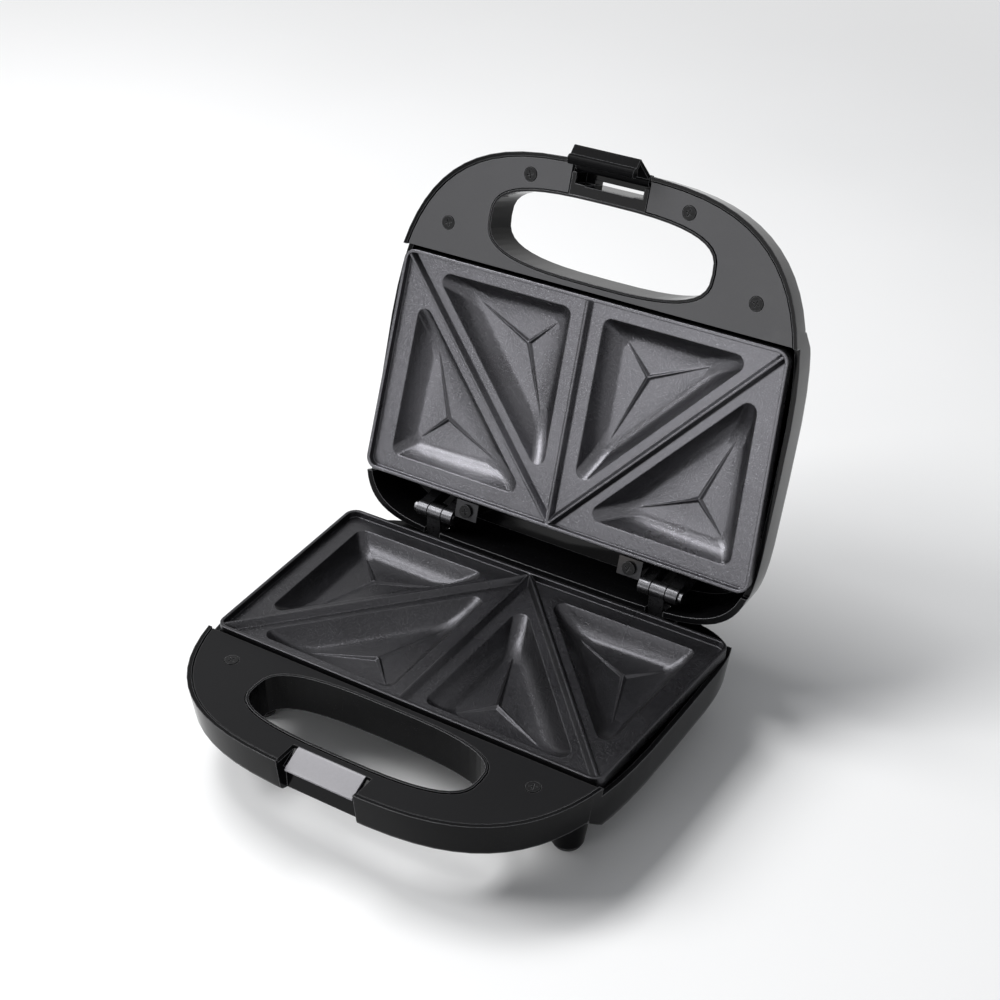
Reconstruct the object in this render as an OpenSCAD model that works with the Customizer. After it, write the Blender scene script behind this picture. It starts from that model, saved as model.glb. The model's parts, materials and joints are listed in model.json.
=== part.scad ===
// Sandwich toaster with a hinged lid, drawn with the lid at its open stop.
// Origin: on the table, midway between the front of the base handle and the back of the open lid.
// Both halves are drawn in half coordinates: z = 0 is the plate's lip, and z below 0 goes into the housing.

/* [Cooking plates] */
// Width of each plate at the hinge side
plate_back_w = 220; // [205:1:222]
// Width of each plate at the handle side
plate_front_w = 211; // [196:1:212]
// Depth of each plate, front to back
plate_d = 118; // [108:1:120]
// Radius of the plate's corners
plate_corner_r = 6; // [3:0.5:8]
// Height of the raised lip above the plate's field
lip_h = 3.5; // [2:0.25:4.5]
// Thickness of the raised lip
lip_t = 1.6; // [1.2:0.1:2.5]
// Thickness of the casting
cast_t = 3; // [2.5:0.25:3.5]
// Depth of the casting's outer skirt below the top of the lip
skirt_h = 9; // [8.5:0.25:10]
// Gap between the two plates' lips when shut
plate_gap = 0.8; // [0.4:0.1:1.5]
// Depth of a sandwich pocket below the field
pocket_depth = 9.6; // [8:0.2:10.4]
// Width of the sloping wall round a pocket's floor
pocket_slope = 9.5; // [8:0.5:11]
// Radius of a pocket's corners
pocket_r = 4.5; // [3:0.5:6]
// Field left between a pocket and the plate's edge at the sides
side_land = 12; // [9:0.5:14]
// Field left between a pocket and the plate's edge at the handle
front_land = 8; // [7:0.5:11]
// Field left between a pocket and the plate's edge at the hinges
back_land = 10; // [8:0.5:12]
// Field left between a pocket and the middle rib's centre line
middle_land = 9; // [7.5:0.5:11]
// Field left between a pocket and a diagonal rib's centre line
diagonal_land = 6.6; // [6:0.2:8]
// Width of a rib at its foot
rib_w = 4.4; // [3:0.2:5]
// Height of a rib above the field
rib_h = 3.1; // [2:0.1:4]
// Height of the crease in a pocket's floor
crease_h = 1.5; // [0.8:0.1:2.2]
// Width of the crease where its three arms meet
crease_w = 3.6; // [2:0.2:5]

/* [Housings] */
// How far a housing reaches beyond the plate at each side
side_rim = 2.5; // [2.5:0.5:8]
// How far a housing reaches behind the plate
rear_bay = 26; // [25:0.5:29]
// Depth of the base housing below the lip
base_depth = 33; // [32:0.5:34]
// Depth of the lid housing behind the lip
lid_depth = 34; // [33:0.5:38]
// Depth of the handles below the lip
handle_depth = 20.5; // [19:0.5:23]
// Wall of the housings
wall_t = 2.2; // [1.8:0.1:2.6]
// Slope of the outer walls, inwards for each mm of depth
wall_draft = 0.11; // [0.05:0.01:0.16]
// How far the housing's rim lies below the lip beside the plate
rim_drop = 6; // [5:0.25:7]
// How far the handle's rim lies below the lip
handle_drop = 1; // [0.6:0.1:1.6]
// Height of the feet's posts below the base
foot_h = 14.5; // [12:0.5:18]
// Radius of a foot where it stands
foot_r = 7; // [6:0.25:8]
// Thickness of the rubber pads under the feet
foot_pad_h = 2.5; // [1.5:0.25:4]

/* [Handles] */
// Half width of the finger hole
grip_half_w = 60; // [50:0.5:64]
// Half depth of the finger hole, front to back
grip_half_d = 19.1; // [16:0.1:20]
// Distance from the plate's front edge to the finger hole
grip_gap = 6.2; // [5.4:0.2:7.4]
// Slope of the finger hole's wall, outwards for each mm of depth
grip_draft = -0.02; // [-0.1:0.01:0.15]
// Width of a handle's bar in front of the finger hole
handle_bar = 18.1; // [17:0.1:24]
// Thickness of the handle covers
cover_t = 1.6; // [1.2:0.1:2]
// How far a cover lies below the handle's rim
cover_sink = 0.4; // [0.2:0.1:0.8]
// Width of the rim round a cover
cover_rim = 1.9; // [1.5:0.1:2.5]
// Groove between a cover and its rim
cover_groove = 0.6; // [0.3:0.1:1]
// Radius of a cover screw's head
head_r = 3.3; // [2.8:0.1:3.6]

/* [Hinges] */
// Angle of the lid at its open stop
lid_open = 107.6; // [100:0.2:109]
// Height of the hinge axis above the lower plate's lip
hinge_up = 5.4; // [5:0.1:6]
// Distance from the hinge axis to the plate's back edge
hinge_back = 13.2; // [12.8:0.1:13.8]
// Distance of a hinge's middle from the middle of the toaster
hinge_x = 65; // [60:0.5:68]
// Radius of a knuckle
knuckle_r = 4.2; // [3.8:0.1:4.6]
// Radius of a hinge pin
pin_r = 2; // [1.6:0.1:2.2]
// Radial clearance of a pin in its bores
pin_play = 0.05; // [0.03:0.01:0.1]
// Width of the base knuckle
base_knuckle_w = 8; // [6:0.5:10]
// Width of each lid ear
lid_ear_w = 6; // [4:0.5:7]

/* [Clip] */
// Width of the clip
clip_w = 35; // [30:1:38]
// Radius of the clip's rolled hook
clip_roll_r = 2.4; // [2:0.1:2.8]
// Thickness of the clip
clip_t = 1.8; // [1.4:0.1:2.2]
// Radius of the clip's pin
clip_pin_r = 1.2; // [1:0.1:1.5]
// Half width of the notches in both handles
notch_half_w = 20.5; // [20:0.5:24]

/* [Hidden] */

// Small amounts
eps = 0.01;
seat_gap = 0.1;
far = 400;

// Outline of a housing: two joined superellipses about this point
outline_mid_y = 6;
outline_front_n = 3.25;
outline_rear_n = 6;
outline_steps = 72;
hole_steps = 44;
hole_n = 3;

// Rounded outer edges of the housings: depth and width of the rounding
body_round = [9, 12];
handle_round = [3.8, 6];
round_steps = 4;

// Places that several pieces share
half_w = max(plate_back_w, plate_front_w) / 2 + side_rim;
// Height of the lower plate's lip above the ground
lip_z = base_depth + foot_h + foot_pad_h;
rear_reach = plate_d / 2 + rear_bay;
grip_y = plate_d / 2 + grip_gap + grip_half_d;
front_reach = grip_y + grip_half_d + handle_bar;
hinge_y = plate_d / 2 + hinge_back;
cover_back_y = -plate_d / 2 - 1.5;
cover_edge = cover_rim + cover_groove;
cover_top = -handle_drop - cover_sink;
seat_z = cover_top - cover_t;
divider_front_y = -plate_d / 2 - 7.2;
divider_back_y = -plate_d / 2 - 2.6;
slope_run = 18;
rear_wall_y = plate_d / 2 + 2.4;
deck_drop = 13;
tail_drop = 2.2;
floor_t = 2.5;
field_z = -lip_h;
slab_z = field_z - cast_t;
rim_gap = 0.2;
skirt_in = 3;
skirt_t = 1.6;
bulge_z = field_z - pocket_depth - cast_t;
boss_z = slab_z - 5.5;
pan_z = bulge_z - 2.2;
pan_t = 0.8;
pan_inset = 3.6;
pan_wall_top = -skirt_h - 1.2;
tab_x = hinge_x - 17.5;
tab_y = [hinge_y - 6, hinge_y - 6.4];
tab_top = [pan_wall_top, -3.2];
tab_riser_y = rear_wall_y - 0.6;
tab_half_w = 6.5;
boss_r = 3;
cup_r = 4.6;
screw_r = 1.5;
screw_hole_r = 1.62;
deck_screw_r = 1.4;

// Cover screws: places from the middle of the plate
base_cover_screw_at = [[half_w - 30.5, cover_back_y - 15]];
lid_cover_screw_at = [[half_w - 28.5, cover_back_y - 15.7], [42.7, -front_reach + 12.5]];
plate_screw_at = [[0.5 * plate_front_w - 10.5, -plate_d / 2 + 10], [15.5, plate_d / 2 - 7.6]];

// Clip geometry, in closed coordinates measured from the lower lip: [y, z]
clip_pivot = [-front_reach + 3, 5.2];
clip_reach = 15.1;
clip_rest = 14;
clip_roll = clip_pivot + clip_reach * [-sin(clip_rest), -cos(clip_rest)];
clip_ridge = clip_pivot + [-9.3, -11.4];
clip_eye_r = clip_pin_r + 1.7;
clip_bore_r = clip_pin_r + pin_play;
clip_eye_half_w = notch_half_w - 0.9;

// Catch in the base handle: the ramp's top and its lip, [y, z] from the lower lip
catch_t = 1.1;
catch_play = 0.2;
lip_under_z = clip_pivot[1] - clip_reach + clip_roll_r + catch_play;
ramp_top = [-front_reach + 14, cover_top];
ramp_lip = [clip_pivot[0], lip_under_z + catch_t];
catch_back_y = clip_pivot[0] + clip_roll_r + 1.5;

// The part stands with its bounding box centred on the origin
function open_point(y, z) =
    let(dy = y - hinge_y, dz = z - hinge_up)
    [hinge_y + dy * cos(lid_open) + dz * sin(lid_open), hinge_up - dy * sin(lid_open) + dz * cos(lid_open)];
lid_handle_edge = [for (p = edge_profile(handle_depth, handle_round))
    open_point(-front_reach + p[1], plate_gap + p[0])[0]];
back_end_y = max(lid_handle_edge);
shift_y = (front_reach - back_end_y) / 2;

// Moves half coordinates to the base
module at_base() {
    translate([0, shift_y, lip_z]) children();
}

// Moves closed coordinates to the open lid
module at_lid_closed() {
    translate([0, shift_y + hinge_y, lip_z + hinge_up])
        rotate([-lid_open, 0, 0])
            translate([0, -hinge_y, -hinge_up])
                children();
}

// Moves half coordinates to the open lid
module at_lid() {
    at_lid_closed()
        translate([0, 0, plate_gap])
            mirror([0, 0, 1])
                children();
}

// Draws its children on both sides of the middle
module both_sides() {
    children();
    mirror([1, 0, 0]) children();
}

// Point on a superellipse with different front and rear halves
function loop_point(t, a, b_front, b_rear, n_front, n_rear, y_mid) =
    let(front = sin(t) < 0, b = front ? b_front : b_rear, n = front ? n_front : n_rear)
    [a * sign(cos(t)) * pow(abs(cos(t)), 2 / n), y_mid + b * sign(sin(t)) * pow(abs(sin(t)), 2 / n)];

// Housing outline, drawn in by an inset
function housing_loop(inset) = [for (i = [0:outline_steps - 1])
    loop_point(360 * i / outline_steps, half_w - inset, front_reach + outline_mid_y - inset,
        rear_reach - outline_mid_y - inset, outline_front_n, outline_rear_n, outline_mid_y)];

// Finger hole outline, grown by an amount
function hole_loop(grow) = [for (i = [0:hole_steps - 1])
    loop_point(360 * i / hole_steps, grip_half_w + grow, grip_half_d + grow, grip_half_d + grow,
        hole_n, hole_n, -grip_y)];

// Depth and inset of the outer wall down to a rounded bottom edge
function edge_profile(depth, rounding, steps = round_steps) = concat(
    [[handle_drop, 0]],
    [for (k = [0:steps])
        [depth - rounding[0] * (1 - sin(90 * k / steps)),
            wall_draft * (depth - rounding[0]) + rounding[1] * (1 - cos(90 * k / steps))]]);

// Skin through rings of equal length, listed upwards, each counter-clockwise from above
module skin(rings) {
    n = len(rings[0]);
    m = len(rings);
    points = [for (r = rings) each r];
    sides = [for (j = [0:m - 2]) for (i = [0:n - 1]) let(k = (i + 1) % n)
        each [[j * n + i, (j + 1) * n + i, (j + 1) * n + k], [j * n + i, (j + 1) * n + k, j * n + k]]];
    bottom = [for (i = [0:n - 1]) i];
    top = [for (i = [n - 1:-1:0]) (m - 1) * n + i];
    polyhedron(points, concat([bottom], sides, [top]), convexity = 8);
}

function lift(loop, z) = [for (p = loop) [p[0], p[1], z]];

// Outer form of a housing down to a rounded bottom edge
module housing_form(depth, rounding) {
    profile = edge_profile(depth, rounding);
    last = len(profile) - 1;
    skin([for (k = [last:-1:0]) lift(housing_loop(profile[k][1]), -profile[k][0])]);
}

// Inner form of a housing, open upwards
module housing_hollow(depth, rounding, extra) {
    profile = edge_profile(depth - floor_t, [rounding[0] - 1, rounding[1] - 1], 2);
    last = len(profile) - 1;
    skin(concat([for (k = [last:-1:1]) lift(housing_loop(profile[k][1] + extra), -profile[k][0])],
        [lift(housing_loop(extra), 4)]));
}

// Finger hole, wider where the handle's back is
module grip_hole(grow) {
    drafted = grip_draft * handle_depth;
    skin([lift(hole_loop(grow + drafted), -handle_depth - 8), lift(hole_loop(grow + drafted), -handle_depth),
        lift(hole_loop(grow), 2)]);
}

// Prism along X from a list of [y, z] points
module side_prism(points, half) {
    translate([-half, 0, 0])
        rotate([90, 0, 90])
            linear_extrude(height = 2 * half) polygon(points);
}

// Side view of the part of a housing behind the handle, which slopes up to it at the front
module behind_handle(depth, front_y, back_y) {
    side_prism([[front_y, 10], [back_y, 10], [back_y, -depth - 10], [front_y + slope_run, -depth - 10],
        [front_y + slope_run, -depth], [front_y, -handle_depth + handle_round[0] / 2]], far);
}

// Slab of everything above z and between two y
module top_cut(y_from, y_to, z) {
    translate([-far, y_from, z]) cube([2 * far, y_to - y_from, 40]);
}

// Both hollows in a handle, left and right of the notch
module handle_hollow(solid_half_w) {
    difference() {
        intersection() {
            housing_hollow(handle_depth, handle_round, cover_edge + 1.8);
            translate([-far, -far, -far]) cube([2 * far, far + divider_front_y, 2 * far]);
        }
        grip_hole(cover_edge + 1.4);
        translate([-solid_half_w, -far, -far]) cube([2 * solid_half_w, far, 2 * far]);
    }
}

// Flat outline of a handle cover, or of its seat
module cover_shape(edge, back_y) {
    difference() {
        intersection() {
            polygon(housing_loop(edge));
            translate([-far, -far]) square([2 * far, far + back_y]);
        }
        polygon(hole_loop(edge - cover_rim + cover_rim * 0.6));
    }
}

// Shell shared by the base and the lid
module tub(depth) {
    difference() {
        union() {
            intersection() {
                housing_form(depth, body_round);
                behind_handle(depth, divider_front_y, far);
            }
            difference() {
                housing_form(handle_depth, handle_round);
                top_cut(cover_back_y + 6, far, -handle_depth - 10);
            }
        }
        grip_hole(0);
        // Seat of the cover
        translate([0, 0, seat_z])
            linear_extrude(height = 10) cover_shape(cover_rim, cover_back_y + eps);
    }
}

// Post with a screw hole, standing on the housing's floor
module screw_post(at, top, bottom, radius, hole_r) {
    translate([at[0], at[1], bottom])
        difference() {
            cylinder(h = top - bottom, r = radius, $fn = 40);
            translate([0, 0, 3]) cylinder(h = top - bottom, r = hole_r, $fn = 32);
        }
}

// Base housing
module base_housing() {
    color("#17171a")
        at_base()
            difference() {
                union() {
                    difference() {
                        union() {
                            tub(base_depth);
                            foot_posts();
                        }
                        // Body hollow, then the lower hollow behind the plate
                        intersection() {
                            housing_hollow(base_depth, body_round, wall_t);
                            difference() {
                                behind_handle(base_depth, divider_back_y, far);
                                translate([-far, rear_wall_y, -deck_drop - floor_t])
                                    cube([2 * far, far, far]);
                            }
                        }
                        handle_hollow(notch_half_w + wall_t);
                        top_cut(cover_back_y, rear_wall_y + wall_t, -rim_drop);
                        top_cut(rear_wall_y + wall_t - eps, far, -deck_drop);
                        both_sides()
                            translate([tab_x - tab_half_w - 0.6, rear_wall_y - 1, pan_wall_top - pan_t - 0.6])
                                cube([2 * tab_half_w + 1.2, wall_t + 2, 20]);
                    }
                    both_sides() {
                        for (p = base_cover_screw_at)
                            screw_post(p, seat_z, -handle_depth + 1, 4, screw_hole_r);
                        screw_post([tab_x, tab_y[0]], tab_top[0] - pan_t - eps, -base_depth + 1, 4.2, screw_hole_r);
                        lid_stop();
                    }
                }
                catch_cut();
                cord_hole();
                both_sides() {
                    hinge_screw_holes();
                    translate([tab_x, tab_y[0], tab_top[0] - 10]) cylinder(h = 20, r = screw_hole_r, $fn = 32);
                }
                for (i = [-3:3]) vent_slot(i);
            }
}

// Posts that the foot pads are fixed to
module foot_posts() {
    both_sides()
        for (y = foot_y)
            translate([foot_x, y, -lip_z + foot_pad_h])
                cylinder(h = lip_z - foot_pad_h - handle_depth, r1 = foot_r + 0.6, r2 = foot_r + 4.6, $fn = 48);
}

foot_x = half_w - 26;
foot_y = [-plate_d / 2 + 7.5, plate_d / 2 + 4];

// Slot in the base's underside that lets warm air out
module vent_slot(i) {
    translate([i * 16 - 2, -22, -base_depth - 5]) cube([4, 44, 10]);
}

// Rib that the open lid's tail leans on
module lid_stop() {
    rib_back_y = rear_reach - 4;
    tail_a = open_point(rear_reach - wall_draft * tail_drop, plate_gap + tail_drop);
    tail_b = open_point(rear_reach - wall_draft * lid_depth, plate_gap + lid_depth);
    slope = (tail_b[1] - tail_a[1]) / (tail_b[0] - tail_a[0]);
    top = tail_a[1] + slope * (rib_back_y - tail_a[0]) - stop_gap;
    translate([26, rear_wall_y + 9, -deck_drop - eps])
        cube([5, rib_back_y - rear_wall_y - 9, top + deck_drop]);
}

stop_gap = 0.5;

// Notch in the base handle, with a ramp and an undercut for the clip's hook
module catch_cut() {
    side_prism([[ramp_top[0], 10], [ramp_top[0], ramp_top[1] - catch_t],
        [ramp_lip[0] + 2, ramp_lip[1] - catch_t], [catch_back_y, lip_under_z - 0.6],
        [catch_back_y, -handle_depth - 10], [-far, -handle_depth - 10], [-far, 10]], notch_half_w);
}

// Grey ramp that the clip snaps over
module catch_plate() {
    color("#a5a4aa")
        at_base()
            side_prism([[ramp_top[0] - 0.3, ramp_top[1] - 0.15], [ramp_top[0] - 1.6, ramp_top[1] - 0.35],
                [ramp_lip[0] + 0.8, ramp_lip[1] + 0.3], [ramp_lip[0], ramp_lip[1] - 0.3],
                [ramp_lip[0], lip_under_z], [ramp_lip[0] + 2, ramp_lip[1] - catch_t + seat_gap],
                [ramp_top[0] - 0.3, ramp_top[1] - catch_t + seat_gap]], clip_w / 2 + 0.5);
}

gland_z = -base_depth / 2 - deck_drop / 2 - 0.5;
gland_r = 5.2;
gland_bore_r = 3.4;
gland_len = 13;

// Hole for the cord's gland in the rear wall
module cord_hole() {
    translate([0, rear_reach - 12, gland_z])
        rotate([-90, 0, 0]) cylinder(h = 30, r = gland_r + seat_gap, $fn = 48);
}

// Bush that the cord leaves through
module cord_gland() {
    flange_y = rear_reach - wall_draft * (-gland_z - gland_r - 2.2) + seat_gap;
    color("#141416")
        at_base()
            translate([0, flange_y - gland_len + 3.4, gland_z])
                rotate([-90, 0, 0])
                    rotate_extrude($fn = 64)
                        polygon([[gland_bore_r, 0], [gland_r - 0.6, 0], [gland_r, 0.8], [gland_r, gland_len - 3.4],
                            [gland_r + 2.2, gland_len - 3.4], [gland_r + 2.2, gland_len - 1.2],
                            [gland_r + 1, gland_len], [gland_bore_r, gland_len]]);
}

// Rubber pads under the posts
module foot_pads() {
    edge = 1.4;
    color("#101012")
        at_base()
            both_sides()
                for (y = foot_y)
                    translate([foot_x, y, -lip_z])
                        rotate_extrude($fn = 48)
                            polygon([[0, 0], [foot_r - edge, 0], [foot_r - edge * 0.4, edge * 0.25],
                                [foot_r, edge], [foot_r + 0.4, foot_pad_h], [0, foot_pad_h]]);
}

// Cover of a handle, closed behind the notch or open at it
module handle_cover(screws, notch_half, notch_y) {
    translate([0, 0, seat_z + seat_gap])
        difference() {
            linear_extrude(height = cover_t - seat_gap)
                difference() {
                    cover_shape(cover_edge, cover_back_y - 0.5);
                    translate([-notch_half, -far]) square([2 * notch_half, far + notch_y]);
                }
            both_sides()
                for (p = screws) {
                    translate([p[0], p[1], -1]) cylinder(h = 10, r = screw_hole_r + 0.1, $fn = 32);
                    translate([p[0], p[1], 0.7]) cylinder(h = 10, r = head_r + 0.35, $fn = 48);
                }
        }
}

// Screws that hold a handle cover
module cover_screws(screws) {
    both_sides()
        for (p = screws)
            translate([p[0], p[1], seat_z + seat_gap + 0.7])
                pan_head_screw(head_r, 0.75 * (cover_t - 0.7) + 0.4, 9);
}

// Screw standing in its hole, with its head's underside at z = 0
module pan_head_screw(radius, head_h, length) {
    translate([0, 0, -length]) cylinder(h = length + eps, r = screw_r, $fn = 24);
    difference() {
        cylinder(h = head_h, r = radius, $fn = 40);
        for (a = [0, 90])
            rotate([0, 0, a + 20]) translate([-radius * 0.55, -0.35, head_h - 0.5]) cube([radius * 1.1, 0.7, 2]);
    }
}

module base_handle_cover() {
    color("#26262a")
        at_base() handle_cover(base_cover_screw_at, notch_half_w + 0.6, ramp_top[0] - 0.3);
}

module base_cover_screws() {
    color("#1b1b1d") at_base() cover_screws(base_cover_screw_at);
}

// Half width of the plate at a given y
function plate_half(y) = (plate_front_w + (plate_back_w - plate_front_w) * (y / plate_d + 0.5)) / 2;

// Outline of the plate with round corners, drawn in by an inset
function plate_loop(inset, steps = 6) =
    let(front = -plate_d / 2 + inset, back = plate_d / 2 - inset, r = max(0.6, plate_corner_r - inset),
        corners = [[plate_half(front) - inset, front, -90], [plate_half(back) - inset, back, 0],
            [-plate_half(back) + inset, back, 90], [-plate_half(front) + inset, front, 180]])
    [for (c = corners) for (k = [0:steps])
        let(a = c[2] + 90 * k / steps)
        [c[0] - sign(c[0]) * r + r * cos(a), c[1] - sign(c[1]) * r + r * sin(a)]];

// Triangle inside a pocket's outline: corner points in order, counter-clockwise
rib_apex = [0, plate_d / 2 - lip_t];
rib_corner = [plate_front_w / 2 - lip_t - 1, -plate_d / 2 + lip_t + 1];
diagonal_run = rib_corner - rib_apex;
diagonal_len = norm(diagonal_run);
diagonal_normal = [-diagonal_run[1], diagonal_run[0]] / diagonal_len;

// Crossing of two lines, each a point and a direction
function crossing(p, d, q, e) =
    let(s = ((q[0] - p[0]) * e[1] - (q[1] - p[1]) * e[0]) / (d[0] * e[1] - d[1] * e[0])) p + s * d;

side_run = [(plate_back_w - plate_front_w) / 2, plate_d];
side_start = [plate_front_w / 2 - side_land, -plate_d / 2];
back_line = plate_d / 2 - back_land;
front_line = -plate_d / 2 + front_land;
outer_start = rib_apex + diagonal_land * diagonal_normal;
inner_start = rib_apex - diagonal_land * diagonal_normal;
outer_pocket = [crossing(side_start, side_run, outer_start, diagonal_run),
    crossing(side_start, side_run, [0, back_line], [1, 0]),
    crossing([0, back_line], [1, 0], outer_start, diagonal_run)];
inner_pocket = [[middle_land, front_line],
    crossing([0, front_line], [1, 0], inner_start, diagonal_run),
    crossing([middle_land, 0], [0, 1], inner_start, diagonal_run)];

// Inside angle at corner i of a triangle, and the direction of its bisector
function unit(v) = v / norm(v);
function corner_unit(tri, i) = [unit(tri[(i + 2) % 3] - tri[i]), unit(tri[(i + 1) % 3] - tri[i])];
function inset_corner(tri, i, distance) =
    let(u = corner_unit(tri, i), bisector = unit(u[0] + u[1]), half = acos(u[0] * u[1]) / 2)
    tri[i] + bisector * distance / sin(half);

// Rounded triangle drawn in by an inset
function triangle_loop(tri, inset, r, steps = 5) = [for (i = [0:2])
    let(c = inset_corner(tri, i, inset + r), to_prev = tri[i] - tri[(i + 2) % 3], to_next = tri[(i + 1) % 3] - tri[i],
        a0 = atan2(-to_prev[0], to_prev[1]), a1 = atan2(-to_next[0], to_next[1]),
        turn = (a1 - a0 + 720) % 360)
    for (k = [0:steps]) c + r * [cos(a0 + turn * k / steps), sin(a0 + turn * k / steps)]];

// Wall of a pocket: [share of the slope's width, share of the depth]
pocket_wall = [[1, 1], [0.66, 0.9], [0.34, 0.58], [0.12, 0.22], [0, 0]];

// Solid that fills a pocket, grown by the casting's thickness for its back
module pocket_form(tri, grow) {
    r = pocket_r + (grow > 0 ? cast_t : 0);
    skin(concat(
        [for (w = pocket_wall) lift(triangle_loop(tri, w[0] * pocket_slope - grow, r),
            field_z - w[1] * pocket_depth - grow)],
        grow > 0 ? [] : [lift(triangle_loop(tri, 0, r), 3)]));
}

// Three tapering ridges that meet over a pocket's middle
module crease(tri) {
    a = norm(tri[1] - tri[2]);
    b = norm(tri[2] - tri[0]);
    c = norm(tri[0] - tri[1]);
    mid = (a * tri[0] + b * tri[1] + c * tri[2]) / (a + b + c);
    floor_z = field_z - pocket_depth;
    for (i = [0:2]) {
        tip = inset_corner(tri, i, pocket_slope + 1.2);
        run = unit(tip - mid);
        side = [-run[1], run[0]] * crease_w / 2;
        back = mid - run * crease_w / 3;
        polyhedron([[back[0] + side[0], back[1] + side[1], floor_z - 0.4],
                [back[0] - side[0], back[1] - side[1], floor_z - 0.4], [tip[0], tip[1], floor_z - 0.4],
                [mid[0], mid[1], floor_z + crease_h], [tip[0], tip[1], floor_z + 0.35]],
            [[0, 1, 2], [0, 3, 1], [1, 4, 2], [1, 3, 4], [0, 4, 3], [0, 2, 4]]);
    }
}

// Sharp ridge between two points of the field, 4 mm longer at each end
module rib(from, to) {
    run = to - from;
    angle = atan2(run[1], run[0]);
    foot = rib_w / 2;
    start = from - unit(run) * 4;
    translate([start[0], start[1], field_z])
        rotate([90, 0, 90 + angle])
            linear_extrude(height = norm(run) + 8)
                polygon([[-foot, -0.5], [foot, -0.5], [foot, 0], [0.5, rib_h], [-0.5, rib_h], [-foot, 0]]);
}

// Cast plate with four pockets, a lip, ribs and creases
module plate() {
    difference() {
        union() {
            difference() {
                union() {
                    translate([0, 0, -rim_drop + rim_gap])
                        linear_extrude(height = rim_drop - rim_gap) polygon(plate_loop(0));
                    translate([0, 0, -skirt_h])
                        linear_extrude(height = skirt_h - 1) polygon(plate_loop(skirt_in));
                }
                translate([0, 0, field_z]) linear_extrude(height = 10) polygon(plate_loop(lip_t));
                translate([0, 0, -skirt_h - 1])
                    linear_extrude(height = skirt_h + 1 + slab_z) polygon(plate_loop(skirt_in + skirt_t));
            }
            both_sides() {
                pocket_form(outer_pocket, cast_t);
                pocket_form(inner_pocket, cast_t);
                for (p = plate_screw_at)
                    translate([p[0], p[1], boss_z]) cylinder(h = slab_z - boss_z + eps, r = boss_r, $fn = 32);
            }
            intersection() {
                union() {
                    both_sides() rib(rib_apex, rib_corner);
                    rib([0, -plate_d / 2 + lip_t], rib_apex - [0, 4.3]);
                }
                translate([0, 0, slab_z + 1])
                    linear_extrude(height = 10) polygon(plate_loop(lip_t * 0.55));
            }
        }
        both_sides() {
            pocket_form(outer_pocket, 0);
            pocket_form(inner_pocket, 0);
            for (p = plate_screw_at)
                translate([p[0], p[1], boss_z - 1]) cylinder(h = 5.6, r = screw_hole_r, $fn = 32);
        }
    }
    both_sides() {
        crease(outer_pocket);
        crease(inner_pocket);
    }
}

module lower_plate() {
    color("#3a3a40") at_base() plate();
}

module upper_plate() {
    color("#3a3a40") at_lid() plate();
}

// Steel pan behind a plate, with cups for its screws and two tabs at the hinge side
module pan(side) {
    cup_top = boss_z - seat_gap;
    difference() {
        union() {
            difference() {
                translate([0, 0, pan_z - pan_t])
                    linear_extrude(height = pan_wall_top - pan_z + pan_t) polygon(plate_loop(pan_inset));
                translate([0, 0, pan_z])
                    linear_extrude(height = pan_wall_top - pan_z + 1) polygon(plate_loop(pan_inset + pan_t));
            }
            both_sides() {
                for (p = plate_screw_at)
                    translate([p[0], p[1], pan_z - pan_t])
                        cylinder(h = cup_top - pan_z + pan_t, r = cup_r, $fn = 40);
                pan_tab(tab_y[side], tab_top[side] - pan_t);
            }
        }
        both_sides() {
            for (p = plate_screw_at) {
                translate([p[0], p[1], pan_z - 5])
                    cylinder(h = cup_top - pan_t - pan_z + 5, r = cup_r - pan_t, $fn = 40);
                translate([p[0], p[1], pan_z]) cylinder(h = 30, r = screw_hole_r, $fn = 32);
            }
            translate([tab_x, tab_y[side], tab_top[side] - 5]) cylinder(h = 10, r = screw_hole_r, $fn = 32);
        }
    }
}

// Tab that carries the pan on a post: out under the plate's skirt, then up to the post's top
module pan_tab(y, z) {
    wall_y = plate_d / 2 - pan_inset;
    low_z = pan_wall_top - pan_t;
    translate([tab_x - tab_half_w, wall_y - pan_t, low_z])
        cube([2 * tab_half_w, tab_riser_y - wall_y + 2 * pan_t, pan_t]);
    translate([tab_x - tab_half_w, tab_riser_y, low_z])
        cube([2 * tab_half_w, pan_t, z - low_z + pan_t]);
    translate([tab_x - tab_half_w, tab_riser_y, z])
        cube([2 * tab_half_w, y + 4.6 - tab_riser_y, pan_t]);
}

module lower_pan() {
    color("#8d8f92") at_base() pan(0);
}

module upper_pan() {
    color("#8d8f92") at_lid() pan(1);
}

// Screws from the pan into the plate's bosses
module plate_screws() {
    both_sides()
        for (p = plate_screw_at)
            translate([p[0], p[1], boss_z - pan_t - 2 * seat_gap])
                mirror([0, 0, 1])
                    translate([0, 0, 0]) pan_head_screw(head_r - 0.5, 1.8, 4.4);
}

module lower_plate_screws() {
    color("#b0b2b5") at_base() plate_screws();
}

module upper_plate_screws() {
    color("#b0b2b5") at_lid() plate_screws();
}

// Screws that hold the pan's tabs to the housing's posts
module pan_screws(side) {
    both_sides()
        translate([tab_x, tab_y[side], tab_top[side] + seat_gap]) pan_head_screw(head_r + 0.2, 1.6, 8);
}

module lower_pan_screws() {
    color("#3c3c40") at_base() pan_screws(0);
}

module upper_pan_screws() {
    color("#3c3c40") at_lid() pan_screws(1);
}

element_r = 3.1;
element_z = slab_z - element_r - 0.2;
element_bend_r = 7;
element_turn = rib_apex + unit(rib_corner - rib_apex) * 13;
element_end = rib_corner + unit(rib_apex - rib_corner) * 24;

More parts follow.
